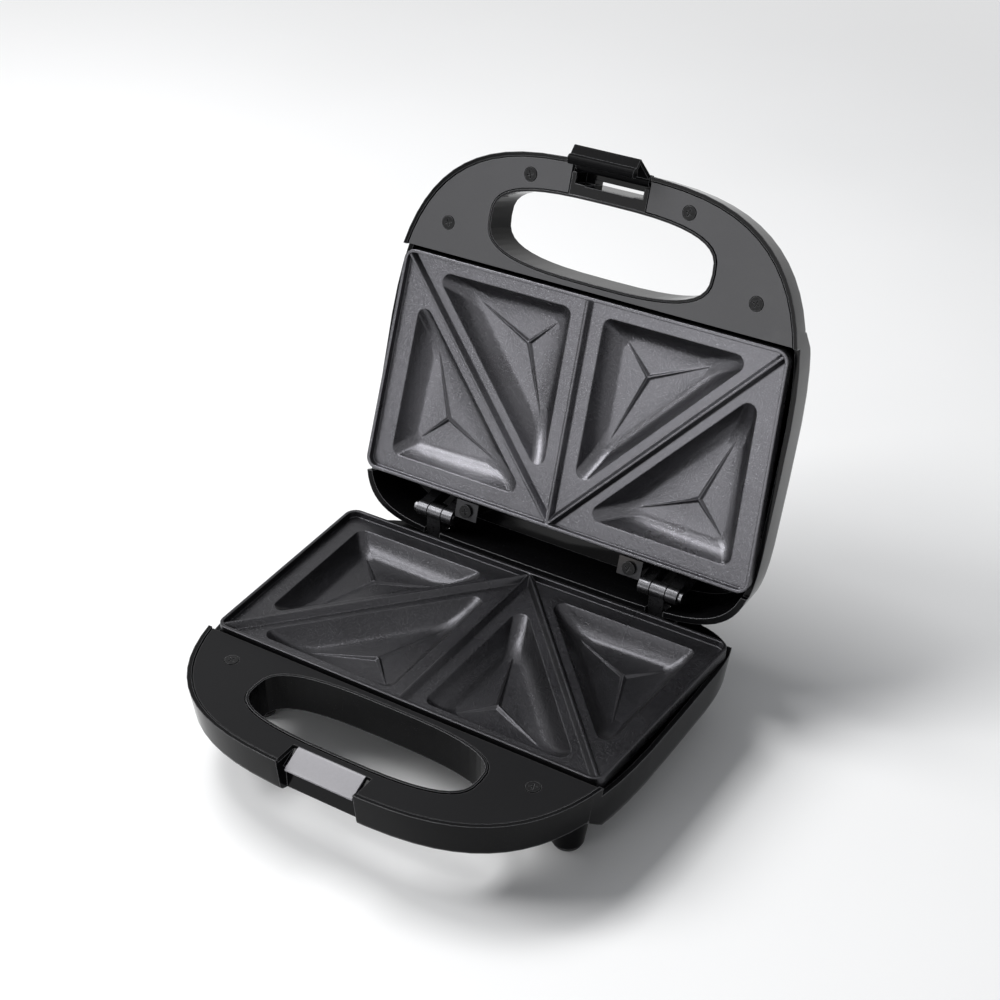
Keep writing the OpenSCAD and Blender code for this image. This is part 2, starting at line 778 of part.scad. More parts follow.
// Ring round a tube's line at a station: [x, y, direction's angle]
function tube_ring(at, r, steps = 16) = [for (k = [0:steps - 1])
    let(a = 360 * k / steps)
    [at[0] - r * cos(a) * sin(at[2]), at[1] + r * cos(a) * cos(at[2]), r * sin(a)]];

// Heater tube: two legs in the channels under the diagonal ribs, bent round at the hinge side
module element() {
    run = element_end - element_turn;
    turn = atan2(-run[1], run[0]);
    cut = element_bend_r * tan(turn / 2);
    mid = [element_turn[0] - cut, element_turn[1] - element_bend_r];
    tube_end = element_end - unit(run) * 12;
    stations = concat(
        [[-tube_end[0], tube_end[1], turn]],
        [for (k = [0:4]) let(a = 90 + turn - turn * k / 4)
            [-mid[0] + element_bend_r * cos(a), mid[1] + element_bend_r * sin(a), a - 90]],
        [for (k = [0:4]) let(a = 90 - turn * k / 4)
            [mid[0] + element_bend_r * cos(a), mid[1] + element_bend_r * sin(a), a - 90]],
        [[tube_end[0], tube_end[1], -turn]]);
    translate([0, 0, element_z]) {
        skin([for (at = stations) tube_ring(at, element_r)]);
        both_sides()
            translate([tube_end[0] - cos(turn), tube_end[1] + sin(turn), 0])
                rotate([0, 0, -turn])
                    rotate([0, 90, 0]) cylinder(h = 13, r = 1.2, $fn = 24);
    }
}

module lower_element() {
    color("#77787a") at_base() element();
}

module upper_element() {
    color("#77787a") at_lid() element();
}

clamp_t = 1.2;

// Strap that presses the heater to the plate near the rear ribs' meeting point
module clamp() {
    translate([-4, element_turn[1], element_z])
        rotate([90, 0, 90])
            linear_extrude(height = 8)
                difference() {
                    union() {
                        circle(r = element_r + 0.2 + clamp_t, $fn = 48);
                        translate([-5.6, element_r - clamp_t]) square([11.2, clamp_t]);
                    }
                    circle(r = element_r + 0.2, $fn = 48);
                    translate([-element_r - 0.2, 0]) square([2 * element_r + 0.4, 20]);
                    translate([-20, element_r]) square([40, 20]);
                }
}

module lower_clamp() {
    color("#a7a9ab") at_base() clamp();
}

module upper_clamp() {
    color("#a7a9ab") at_lid() clamp();
}

// Bimetal thermostat pressed to the plate between the middle pockets
module thermostat() {
    color("#d8d3c6")
        at_base()
            translate([0, -18, slab_z - 8.2]) {
                cylinder(h = 8, r = 5.2, $fn = 48);
                translate([-3.8, -7.5, 1.2]) cube([7.6, 15, 0.8]);
            }
}

// Thermal fuse in its sleeve
module thermal_fuse() {
    color("#e9e5da")
        at_base()
            translate([0, -plate_d / 2 + 9, slab_z - 2.7])
                rotate([-90, 0, 0]) {
                    cylinder(h = 16, r = 2.4, $fn = 40);
                    translate([0, 0, -3]) cylinder(h = 22, r = 0.5, $fn = 24);
                }
}

// Block that joins the cord to the wiring, on the housing's floor
module terminal_block() {
    color("#cfc9b6")
        at_base()
            difference() {
                translate([-14, rear_wall_y - 16, -base_depth + floor_t + seat_gap]) cube([28, 12, 9]);
                for (i = [-1:1])
                    translate([i * 8.5, rear_wall_y - 10, -base_depth + floor_t + 3])
                        cylinder(h = 10, r = 2, $fn = 32);
            }
}

bracket_t = 2;
lid_foot_back = 8;
lid_screw_y = hinge_y - lid_foot_back - 5;

// Base half of a hinge: a foot on the deck, a stem and a knuckle
module base_hinge() {
    stem = base_knuckle_w;
    foot_z = -deck_drop + seat_gap;
    difference() {
        union() {
            translate([hinge_x - stem / 2, hinge_y - 5.5, foot_z]) cube([stem, 11, bracket_t]);
            translate([hinge_x - stem / 2 - 5, hinge_y - 4.5, foot_z]) cube([stem + 10, 9, bracket_t]);
            side_part(hinge_x, stem, [[hinge_y - 5, foot_z], [hinge_y + 5, foot_z],
                [hinge_y + knuckle_r - 0.6, hinge_up], [hinge_y - knuckle_r + 0.6, hinge_up]]);
            translate([hinge_x - stem / 2, hinge_y, hinge_up])
                rotate([0, 90, 0]) cylinder(h = stem, r = knuckle_r, $fn = 64);
        }
        translate([hinge_x - stem, hinge_y, hinge_up])
            rotate([0, 90, 0]) cylinder(h = 2 * stem, r = pin_r + pin_play, $fn = 64);
        for (s = [-1, 1])
            translate([hinge_x + s * (stem / 2 + 2.6), hinge_y, -deck_drop - 1])
                cylinder(h = bracket_t + 2, r = deck_screw_r + 0.12, $fn = 32);
    }
}

// Prism along X centred at x, from [y, z] points
module side_part(x, width, points) {
    translate([x, 0, 0]) side_prism(points, width / 2);
}

module base_hinge_right() {
    color("#3f3f44") at_base() base_hinge();
}

module base_hinge_left() {
    color("#3f3f44") at_base() mirror([1, 0, 0]) base_hinge();
}

// Holes in the deck for the hinge screws
module hinge_screw_holes() {
    for (s = [-1, 1])
        translate([hinge_x + s * (base_knuckle_w / 2 + 2.6), hinge_y, -deck_drop - floor_t - 1])
            cylinder(h = floor_t + 2, r = deck_screw_r + 0.12, $fn = 32);
}

// Small screw standing in its hole
module small_screw(length) {
    translate([0, 0, -length]) cylinder(h = length + eps, r = deck_screw_r, $fn = 24);
    cylinder(h = 1.1, r = 2.3, $fn = 32);
}

module base_hinge_screws() {
    color("#55565a")
        at_base()
            both_sides()
                for (s = [-1, 1])
                    translate([hinge_x + s * (base_knuckle_w / 2 + 2.6), hinge_y,
                            -deck_drop + bracket_t + 2 * seat_gap])
                        small_screw(bracket_t + floor_t);
}

ear_gap = 0.5;
ear_outer = base_knuckle_w / 2 + ear_gap + lid_ear_w;
lid_screw_x = [hinge_x, hinge_x + ear_outer + 3];

module hinge_pins() {
    color("#9b9da0")
        at_base()
            both_sides()
                translate([hinge_x + ear_outer + 1, hinge_y, hinge_up])
                    rotate([0, -90, 0]) {
                        cylinder(h = 2 * ear_outer + 1.3, r = pin_r, $fn = 64);
                        translate([0, 0, -1.2]) cylinder(h = 1.8, r = pin_r + 1, $fn = 48);
                    }
}

// Lid half of a hinge, in closed coordinates: a foot on the housing's roof and two ears
module lid_hinge() {
    roof_z = plate_gap + lid_depth - floor_t - seat_gap;
    difference() {
        union() {
            for (s = [-1, 1])
                ear(hinge_x + s * (base_knuckle_w / 2 + ear_gap + lid_ear_w / 2), roof_z);
            translate([hinge_x - ear_outer, hinge_y - lid_foot_back - 10, roof_z - bracket_t])
                cube([2 * ear_outer + 6, 10, bracket_t]);
        }
        translate([hinge_x - far / 2, hinge_y, hinge_up])
            rotate([0, 90, 0]) cylinder(h = far, r = pin_r + pin_play, $fn = 64);
        for (x = lid_screw_x)
            translate([x, lid_screw_y, roof_z - bracket_t - 1])
                cylinder(h = bracket_t + 2, r = deck_screw_r + 0.12, $fn = 32);
    }
}

// One ear of a lid hinge
module ear(x, roof_z) {
    side_part(x, lid_ear_w, [[hinge_y - knuckle_r + 0.4, hinge_up], [hinge_y + knuckle_r - 0.4, hinge_up],
        [hinge_y - lid_foot_back, roof_z], [hinge_y - lid_foot_back - 10, roof_z]]);
    translate([x - lid_ear_w / 2, hinge_y, hinge_up])
        rotate([0, 90, 0]) cylinder(h = lid_ear_w, r = knuckle_r, $fn = 64);
}

module lid_hinge_right() {
    color("#3f3f44") at_lid_closed() lid_hinge();
}

module lid_hinge_left() {
    color("#3f3f44") at_lid_closed() mirror([1, 0, 0]) lid_hinge();
}

lid_screw_in = 1.6;

module lid_hinge_screws() {
    roof_z = plate_gap + lid_depth - floor_t - seat_gap;
    color("#55565a")
        at_lid_closed()
            both_sides()
                for (x = lid_screw_x)
                    translate([x, lid_screw_y, roof_z - bracket_t - seat_gap])
                        mirror([0, 0, 1]) small_screw(bracket_t + lid_screw_in);
}

lamp_x = 9;
lamp_y = -34;
lamp_r = 3.6;

// Lid housing
module lid_housing() {
    color("#17171a")
        at_lid()
            difference() {
                union() {
                    difference() {
                        tub(lid_depth);
                        intersection() {
                            housing_hollow(lid_depth, body_round, wall_t);
                            behind_handle(lid_depth, divider_back_y, far);
                        }
                        handle_hollow(notch_half_w + wall_t);
                        top_cut(cover_back_y, rear_wall_y, -rim_drop);
                        top_cut(rear_wall_y - eps, far, -tail_drop);
                    }
                    both_sides() {
                        for (p = lid_cover_screw_at)
                            screw_post(p, seat_z, -handle_depth + 1, 4, screw_hole_r);
                        screw_post([tab_x, tab_y[1]], tab_top[1] - pan_t, -lid_depth + 1, 4.2, screw_hole_r);
                    }
                    notch_face();
                }
                clip_cut();
                both_sides() {
                    stem_slot();
                    translate([lamp_x, lamp_y, -lid_depth - 5]) cylinder(h = 12, r = lamp_r, $fn = 48);
                    for (x = lid_screw_x)
                        translate([x, lid_screw_y, -lid_depth + floor_t - lid_screw_in])
                            cylinder(h = 6, r = deck_screw_r + 0.12, $fn = 32);
                }
            }
}

// Slot that lets a base hinge's stem through the open lid's rear wall
module stem_slot() {
    slot_w = base_knuckle_w + 1.6;
    foot = [5.5, -deck_drop - hinge_up];
    reach = [foot[0] * cos(lid_open) - foot[1] * sin(lid_open), foot[0] * sin(lid_open) + foot[1] * cos(lid_open)];
    top_z = hinge_up + reach[1] * (rear_reach - hinge_y) / reach[0] + 3 - plate_gap;
    translate([hinge_x - slot_w / 2, hinge_y + 6, -top_z]) cube([slot_w, 30, top_z + 10]);
}

clip_room = clip_w / 2 + 0.8;
slot_half_w = 13;
clip_cave_y = clip_pivot[0] + 8.7;
clip_cave_z = -12.5;
pin_half_w = notch_half_w + 1.6;

// Flat face of the handle that fills the gap between the cover's two ends
module notch_face() {
    translate([0, 0, seat_z - eps])
        linear_extrude(height = cover_top - seat_z)
            intersection() {
                difference() {
                    polygon(housing_loop(cover_rim - 0.1));
                    polygon(hole_loop(cover_rim * 0.6 - 0.1));
                }
                translate([-notch_half_w, -far]) square([2 * notch_half_w, far - grip_y]);
            }
}

// Room for the clip in the lid handle, its slot and its pin's bore
module clip_cut() {
    pivot_z = plate_gap - clip_pivot[1];
    translate([-clip_room, -far, clip_cave_z]) cube([2 * clip_room, far + clip_cave_y, 40]);
    translate([-notch_half_w, -far, clip_cave_z])
        cube([2 * notch_half_w, far + clip_pivot[0] + clip_eye_r + 0.5, 40]);
    translate([-slot_half_w, clip_cave_y - 2.2, -handle_depth - 10]) cube([2 * slot_half_w, 2.6, 30]);
    translate([-pin_half_w - seat_gap, clip_pivot[0], pivot_z])
        rotate([0, 90, 0]) cylinder(h = 2 * (pin_half_w + seat_gap), r = clip_pin_r + pin_play, $fn = 40);
}

module lid_handle_cover() {
    color("#5a5a5e")
        at_lid() handle_cover(lid_cover_screw_at, notch_half_w + 0.6, -grip_y);
}

module lid_cover_screws() {
    color("#1b1b1d") at_lid() cover_screws(lid_cover_screw_at);
}

// Domed lens of an indicator lamp in the lid's outer face
module lamp_lens(x) {
    translate([x, lamp_y, -lid_depth - 0.9])
        rotate_extrude($fn = 48)
            polygon([[0, 0], [lamp_r * 0.5, 0.15], [lamp_r - 0.5, 0.7], [lamp_r - 0.15, 1.2],
                [lamp_r - 0.15, 0.9 + floor_t + seat_gap], [lamp_r + 1, 0.9 + floor_t + seat_gap],
                [lamp_r + 1, 0.9 + floor_t + 1.6], [0, 0.9 + floor_t + 1.6]]);
}

module red_lamp_lens() {
    color("#b3201c") at_lid() lamp_lens(-lamp_x);
}

module green_lamp_lens() {
    color("#1f9a46") at_lid() lamp_lens(lamp_x);
}

// Pin that the clip turns on
module clip_pin() {
    color("#8f9194")
        at_lid_closed()
            translate([-pin_half_w, clip_pivot[0], clip_pivot[1]])
                rotate([0, 90, 0]) cylinder(h = 2 * pin_half_w, r = clip_pin_r, $fn = 40);
}

// Strip of a given thickness between two [y, z] points
function strip(a, b, t) =
    let(d = unit(b - a), n = [-d[1], d[0]] * t / 2) [a + n, b + n, b - n, a - n];

// Clip: an eye round the pin, a plate that narrows to the ridge, and a rolled hook
module latch_clip() {
    half = clip_w / 2;
    wide = clip_eye_half_w;
    color("#121214")
        at_lid_closed()
            difference() {
                union() {
                    intersection() {
                        union() {
                            side_prism(strip(clip_pivot, clip_ridge, clip_t), wide);
                            side_prism(strip(clip_ridge, clip_roll, clip_t), half);
                            x_rod(clip_ridge, clip_t / 2, wide);
                        }
                        translate([0, 0, 0])
                            rotate([90, 0, 0])
                                linear_extrude(height = far)
                                    polygon([[wide, 30], [-wide, 30], [-wide, clip_pivot[1] - 1],
                                        [-half, clip_ridge[1] + 1], [-half, -30], [half, -30],
                                        [half, clip_ridge[1] + 1], [wide, clip_pivot[1] - 1]]);
                    }
                    x_rod(clip_pivot, clip_eye_r, wide);
                    x_rod(clip_roll, clip_roll_r, half);
                }
                x_rod(clip_pivot, clip_bore_r, far / 2);
            }
}

// Rod along X about a [y, z] point
module x_rod(at, radius, half) {
    translate([-half, at[0], at[1]])
        rotate([0, 90, 0]) cylinder(h = 2 * half, r = radius, $fn = 48);
}

base_housing();
base_handle_cover();
base_cover_screws();
catch_plate();
foot_pads();
cord_gland();
lower_plate();
lower_pan();
lower_element();
lower_clamp();
lower_plate_screws();
lower_pan_screws();
thermostat();
thermal_fuse();
terminal_block();
base_hinge_left();
base_hinge_right();
base_hinge_screws();
hinge_pins();
lid_housing();
lid_handle_cover();
lid_cover_screws();
upper_plate();
upper_pan();
upper_element();
upper_clamp();
upper_plate_screws();
upper_pan_screws();
lid_hinge_left();
lid_hinge_right();
lid_hinge_screws();
red_lamp_lens();
green_lamp_lens();
clip_pin();
latch_clip();
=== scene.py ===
import json
import math

import bpy
from mathutils import Matrix, Vector
from mathutils.kdtree import KDTree

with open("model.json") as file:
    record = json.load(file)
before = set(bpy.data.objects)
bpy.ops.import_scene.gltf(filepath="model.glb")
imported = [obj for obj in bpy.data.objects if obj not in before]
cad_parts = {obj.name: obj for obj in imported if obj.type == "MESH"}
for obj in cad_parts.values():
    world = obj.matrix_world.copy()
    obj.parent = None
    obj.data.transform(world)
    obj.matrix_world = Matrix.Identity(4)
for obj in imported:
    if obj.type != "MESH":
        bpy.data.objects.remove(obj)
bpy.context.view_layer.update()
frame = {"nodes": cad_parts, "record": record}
nodes = frame["nodes"]


# Middle of the lower plate's lip, which the camera's place is measured from
LIP_Y = -0.011237
LIP_Z = 0.050

# Photograph's camera, as solved from points matched between the photograph and the part
CAMERA_FROM_LIP = (0.372007, -0.570982, 0.512349)
CAMERA_AZIMUTH = math.radians(31.808)
CAMERA_ELEVATION = math.radians(32.718)
CAMERA_ROLL = math.radians(0.339)
FOCAL_PIXELS = 1787.785
PHOTO_PIXELS = 1000
SENSOR_WIDTH = 36.0
NEAREST_SEEN = 0.05
FARTHEST_SEEN = 30.0

# Floor, a hair below the feet so that the two never share a plane
FLOOR_HALF_WIDTH = 4.0
FLOOR_FRONT = -3.0
FLOOR_BACK = 2.2
FLOOR_DROP = 0.0002
# Distances at which the floor starts to pale and has paled
PALE_FROM = 0.8
PALE_AT = 2.0

# Colours and strength of the studio
PALE_STUDIO = (0.93, 0.93, 0.93)
ROOM_LIGHT = (0.95, 0.97, 1.0)
ROOM_STRENGTH = 0.30
PAPER_DARK = (0.90, 0.90, 0.90)
PAPER_LIGHT = (0.93, 0.93, 0.93)

# Vertices closer than this lie on one seam between faces
SEAM_GAP = 5e-6
# Seams that turn by fewer degrees are shaded round
ROUND_SEAM = 32.0
ROUND_COAT_SEAM = 33.0

# Middle of a noise's range, where most of its values lie
NOISE_LOW = 0.3
NOISE_HIGH = 0.7
# Cosine of the lean of a rounded normal at which the edge mask starts, and at which it is full; on the
# plastics the mask carries a painted highlight, on the other finishes wear
EDGE_MASK_STARTS = 0.985
EDGE_MASK_FULL = 0.86

# Places of the colour sockets on a mix node, which share their names with other kinds
MIX_AMOUNT = 0
MIX_FIRST = 6
MIX_SECOND = 7
MIX_RESULT = 2

# Colours of wear and dirt, and of the painted highlight on gloss plastic edges
DUST = (0.30, 0.30, 0.31)
PAINTED_EDGE_HIGHLIGHT = (0.26, 0.26, 0.27)
WORN_METAL = (0.32, 0.32, 0.33)
WORN_RUBBER = (0.05, 0.05, 0.05)
RUBBER_SCUFF = (0.06, 0.058, 0.055)
HEAT_TINT = (0.30, 0.21, 0.12)
YELLOW_PASSIVATION = (0.45, 0.42, 0.36)

# Colours of the non-stick coat
COAT_LOW = (0.064, 0.063, 0.069)
COAT_HIGH = (0.086, 0.085, 0.093)
COAT_FLAKE = (0.36, 0.36, 0.385)
COAT_PIT = (0.04, 0.04, 0.044)


# Materials
def scaled(color, factor, lift=0.0):
    """Colour made lighter or darker by a factor, and lifted towards white."""
    return tuple(min(1.0, part * factor + lift) for part in color)


class Net:
    """Material with a principled shader, and helpers that wire nodes to it."""

    def __init__(self, name):
        self.mat = bpy.data.materials.new(name)
        self.mat.use_nodes = True
        self.tree = self.mat.node_tree
        self.tree.nodes.clear()
        self.out = self.add("ShaderNodeOutputMaterial")
        self.bsdf = self.add("ShaderNodeBsdfPrincipled")
        self.link(self.bsdf.outputs["BSDF"], self.out.inputs["Surface"])
        self.coord = self.add("ShaderNodeTexCoord").outputs["Object"]

    def add(self, kind, **props):
        """New node with its properties set."""
        node = self.tree.nodes.new(kind)
        for key, value in props.items():
            setattr(node, key, value)
        return node

    def link(self, source, socket):
        """Wire from one node's output to another's input."""
        self.tree.links.new(source, socket)

    def put(self, socket, value):
        """Wire from an output, or a number or a colour set on the socket."""
        if isinstance(value, bpy.types.NodeSocket):
            self.link(value, socket)
        elif isinstance(value, tuple):
            socket.default_value = (*value, 1.0)
        else:
            socket.default_value = value

    def set(self, **values):
        """Sockets of the principled shader, with an underscore for each space in a name."""
        for key, value in values.items():
            self.put(self.bsdf.inputs[key.replace("_", " ")], value)

    def math(self, operation, first, second):
        """Sum or product of two values."""
        node = self.add("ShaderNodeMath", operation=operation)
        self.put(node.inputs[0], first)
        self.put(node.inputs[1], second)
        return node.outputs["Value"]

    def noise(self, scale, detail=3.0, rough=0.5, stretch=None):
        """Noise over the piece, finer with a larger scale."""
        place = self.coord
        if stretch:
            mapping = self.add("ShaderNodeMapping")
            mapping.inputs["Scale"].default_value = stretch
            self.link(place, mapping.inputs["Vector"])
            place = mapping.outputs["Vector"]
        node = self.add("ShaderNodeTexNoise")
        self.link(place, node.inputs["Vector"])
        node.inputs["Scale"].default_value = scale
        node.inputs["Detail"].default_value = detail
        node.inputs["Roughness"].default_value = rough
        return node.outputs[0]

    def cells(self, scale):
        """Small cells, finer with a larger scale."""
        node = self.add("ShaderNodeTexVoronoi", feature="F1")
        self.link(self.coord, node.inputs["Vector"])
        node.inputs["Scale"].default_value = scale
        return node.outputs["Distance"]

    def ramp(self, value, low, high, to_low=0.0, to_high=1.0):
        """Range of a value, stretched onto another range and cut off at its ends."""
        node = self.add("ShaderNodeMapRange")
        self.link(value, node.inputs["Value"])
        node.inputs["From Min"].default_value = low
        node.inputs["From Max"].default_value = high
        node.inputs["To Min"].default_value = to_low
        node.inputs["To Max"].default_value = to_high
        return node.outputs["Result"]

    def spread(self, pattern, to_low=0.0, to_high=1.0):
        """Noise whose middle range is stretched between two values."""
        return self.ramp(pattern, NOISE_LOW, NOISE_HIGH, to_low, to_high)

    def mix(self, amount, first, second):
        """First colour where the amount is 0, second where it is 1."""
        node = self.add("ShaderNodeMix", data_type="RGBA")
        self.put(node.inputs[MIX_AMOUNT], amount)
        self.put(node.inputs[MIX_FIRST], first)
        self.put(node.inputs[MIX_SECOND], second)
        return node.outputs[MIX_RESULT]

    def tinted(self, color, tint, mask, amount):
        """Colour with an amount of a tint where a mask is 1."""
        return self.mix(self.math("MULTIPLY", mask, amount), color, tint)

    def plus(self, value, pattern, amount):
        """Value with an amount of a pattern added."""
        return self.math("ADD", value, self.math("MULTIPLY", pattern, amount))

    def rounded(self, radius, samples=4):
        """Normal that rounds the edges."""
        bevel = self.add("ShaderNodeBevel", samples=samples)
        bevel.inputs["Radius"].default_value = radius
        return bevel.outputs["Normal"]

    def edge_wear_and_highlight(self, normal):
        """Mask that is 1 on edges, where the rounded normal leans away from the face; it carries painted
        highlights on plastics and wear elsewhere.
        """
        flat = self.add("ShaderNodeNewGeometry").outputs["Normal"]
        lean = self.add("ShaderNodeVectorMath", operation="DOT_PRODUCT")
        self.link(normal, lean.inputs[0])
        self.link(flat, lean.inputs[1])
        return self.ramp(lean.outputs["Value"], EDGE_MASK_STARTS, EDGE_MASK_FULL)

    def bump(self, height, strength, distance, normal=None):
        """Normal that leans with a height, over the rounded one if it is given."""
        node = self.add("ShaderNodeBump")
        node.inputs["Strength"].default_value = strength
        node.inputs["Distance"].default_value = distance
        self.link(height, node.inputs["Height"])
        if normal is not None:
            self.link(normal, node.inputs["Normal"])
        return node.outputs["Normal"]


def gloss_plastic(name, base, rough, edge=0.0006, shine=0.24):
    """Moulded gloss plastic: slight unevenness, fine dust, softened edges with a painted highlight along
    them.
    """
    net = Net(name)
    normal = net.rounded(edge)
    edges = net.edge_wear_and_highlight(normal)
    wave = net.noise(scale=55.0, detail=2.0)
    fine = net.noise(scale=1400.0, detail=2.0)
    dust = net.ramp(net.noise(scale=2600.0, detail=1.0), low=0.70, high=0.78)
    smudge = net.noise(scale=22.0, detail=4.0, rough=0.6)
    color = net.mix(net.spread(smudge), scaled(base, 0.88), scaled(base, 1.12))
    color = net.tinted(color, DUST, dust, amount=0.10)
    # Painted highlight: the edges lightened towards pale grey
    color = net.tinted(color, PAINTED_EDGE_HIGHLIGHT, edges, amount=0.7)
    smudged = net.spread(smudge, to_low=rough - 0.035, to_high=rough + 0.045)
    height = net.plus(wave, fine, amount=0.06)
    net.set(
        Base_Color=color,
        Roughness=net.plus(smudged, dust, amount=0.2),
        Specular_IOR_Level=shine,
        Normal=net.bump(height, strength=0.035, distance=0.001, normal=normal),
    )
    return net.mat


def satin_plastic(name, base, rough, grain=900.0, strength=0.10, shine=0.25):
    """Satin moulded plastic with a fine spark-eroded grain, faint rub marks and a painted highlight on its
    edges.
    """
    net = Net(name)
    normal = net.rounded(0.0004)
    edges = net.edge_wear_and_highlight(normal)
    fine = net.noise(grain, detail=3.0, rough=0.6)
    pores = net.cells(grain * 1.7)
    large = net.noise(scale=18.0, detail=3.0, rough=0.55)
    streaks = net.noise(scale=60.0, detail=2.0, rough=0.5, stretch=(1.0, 6.0, 1.0))
    rubbed = net.ramp(streaks, low=0.60, high=0.78)
    color = net.mix(net.ramp(large, low=0.35, high=0.65), scaled(base, 0.93), scaled(base, 1.07))
    color = net.tinted(color, scaled(base, 1.35), net.spread(fine), amount=0.25)
    # Painted highlight: the edges lightened to three times the base and lifted towards grey
    color = net.tinted(color, scaled(base, 3.0, lift=0.14), edges, amount=0.7)
    uneven = net.spread(large, to_low=rough - 0.03, to_high=rough + 0.04)
    height = net.plus(fine, pores, amount=0.4)
    net.set(
        Base_Color=color,
        Roughness=net.plus(uneven, rubbed, amount=-0.05),
        Specular_IOR_Level=shine,
        Normal=net.bump(height, strength, distance=0.0003, normal=normal),
    )
    return net.mat


def coated_plate(name, tone=1.0):
    """Cast plate under a dark non-stick coat with fine metallic flakes; a lower tone gives a darker copy,
    used as painted shade.
    """
    net = Net(name)
    normal = net.rounded(0.0009, samples=6)
    flake = net.ramp(net.noise(scale=3300.0, detail=1.0), low=0.58, high=0.70)
    pit = net.ramp(net.noise(scale=1500.0, detail=2.0), low=0.60, high=0.70)
    large = net.noise(scale=26.0, detail=4.0, rough=0.55)
    peel = net.noise(scale=620.0, detail=2.0, rough=0.5)
    color = net.mix(net.spread(large), scaled(COAT_LOW, tone), scaled(COAT_HIGH, tone))
    color = net.tinted(color, scaled(COAT_FLAKE, tone), flake, amount=0.60)
    color = net.tinted(color, scaled(COAT_PIT, tone), pit, amount=0.45)
    uneven = net.spread(large, to_low=0.26, to_high=0.31)
    height = net.plus(net.math("MULTIPLY", peel, 0.8), flake, amount=0.35)
    net.set(
        Base_Color=color,
        Roughness=net.plus(uneven, flake, amount=-0.05),
        Metallic=0.9,
        Normal=net.bump(height, strength=0.22, distance=0.00035, normal=normal),
    )
    return net.mat


def sheet_steel(name, base, rough, brushed=(1.0, 30.0, 30.0), tint=HEAT_TINT, heat=0.15):
    """Rolled or drawn steel with brush lines, handling marks and a little tint."""
    net = Net(name)
    normal = net.rounded(0.0003)
    edges = net.edge_wear_and_highlight(normal)
    lines = net.noise(scale=90.0, detail=4.0, rough=0.6, stretch=brushed)
    marks = net.ramp(net.noise(scale=160.0), low=0.55, high=0.75)
    tinting = net.ramp(net.noise(scale=14.0), low=0.45, high=0.7)
    color = net.mix(net.spread(lines), scaled(base, 0.85), scaled(base, 1.1))
    color = net.tinted(color, tint, tinting, amount=heat)
    color = net.tinted(color, scaled(base, 0.6), marks, amount=0.15)
    color = net.tinted(color, scaled(base, 1.3), edges, amount=0.3)
    lined = net.spread(lines, to_low=rough - 0.05, to_high=rough + 0.07)
    net.set(
        Base_Color=color,
        Roughness=net.plus(lined, marks, amount=0.12),
        Metallic=1.0,
        Normal=net.bump(lines, strength=0.08, distance=0.0002, normal=normal),
    )
    return net.mat


def dark_metal(name, base, rough, metallic=0.75, shine=0.5):
    """Blackened metal, worn a little brighter on its edges."""
    net = Net(name)
    normal = net.rounded(0.00035)
    edges = net.edge_wear_and_highlight(normal)
    grain = net.noise(scale=700.0)
    large = net.noise(scale=70.0)
    patches = net.ramp(net.noise(scale=320.0), low=0.35, high=0.6)
    worn = net.math("MULTIPLY", edges, patches)
    color = net.mix(net.spread(large), scaled(base, 0.8), scaled(base, 1.2))
    color = net.tinted(color, WORN_METAL, worn, amount=0.6)
    net.set(
        Base_Color=color,
        Roughness=net.spread(grain, to_low=rough - 0.06, to_high=rough + 0.08),
        Metallic=metallic,
        Specular_IOR_Level=shine,
        Normal=net.bump(grain, strength=0.10, distance=0.0002, normal=normal),
    )
    return net.mat


def rubber(name, base):
    """Matt rubber with scuffs and paler edges."""
    net = Net(name)
    normal = net.rounded(0.0004)
    edges = net.edge_wear_and_highlight(normal)
    grain = net.noise(scale=800.0, detail=4.0, rough=0.65)
    scuff = net.ramp(net.noise(scale=140.0), low=0.55, high=0.75)
    color = net.tinted(base, RUBBER_SCUFF, scuff, amount=0.5)
    color = net.tinted(color, WORN_RUBBER, edges, amount=0.25)
    net.set(
        Base_Color=color,
        Roughness=net.spread(grain, to_low=0.6, to_high=0.78),
        Normal=net.bump(grain, strength=0.25, distance=0.0003, normal=normal),
    )
    return net.mat


def ceramic(name, base, rough=0.5):
    """Unglazed ceramic with brown stains and paler edges."""
    net = Net(name)
    normal = net.rounded(0.0003)
    edges = net.edge_wear_and_highlight(normal)
    grain = net.noise(scale=500.0, detail=4.0)
    stain = net.ramp(net.noise(scale=60.0), low=0.5, high=0.75)
    color = net.tinted(base, scaled(base, 0.7), stain, amount=0.35)
    color = net.tinted(color, scaled(base, 1.15), edges, amount=0.3)
    net.set(
        Base_Color=color,
        Roughness=net.spread(grain, to_low=rough - 0.08, to_high=rough + 0.1),
        Normal=net.bump(grain, strength=0.1, distance=0.0002, normal=normal),
    )
    return net.mat


def lens(name, base):
    """Clear coloured lens with a cut pattern and a slight haze."""
    net = Net(name)
    normal = net.rounded(0.0003)
    edges = net.edge_wear_and_highlight(normal)
    cuts = net.cells(900.0)
    haze = net.noise(scale=90.0)
    color = net.mix(net.spread(haze), scaled(base, 0.8), base)
    color = net.tinted(color, scaled(base, 1.4, lift=0.05), edges, amount=0.3)
    net.set(
        Base_Color=color,
        Roughness=net.spread(haze, to_low=0.08, to_high=0.16),
        Transmission_Weight=0.35,
        Coat_Weight=0.4,
        Normal=net.bump(cuts, strength=0.2, distance=0.0003, normal=normal),
    )
    return net.mat


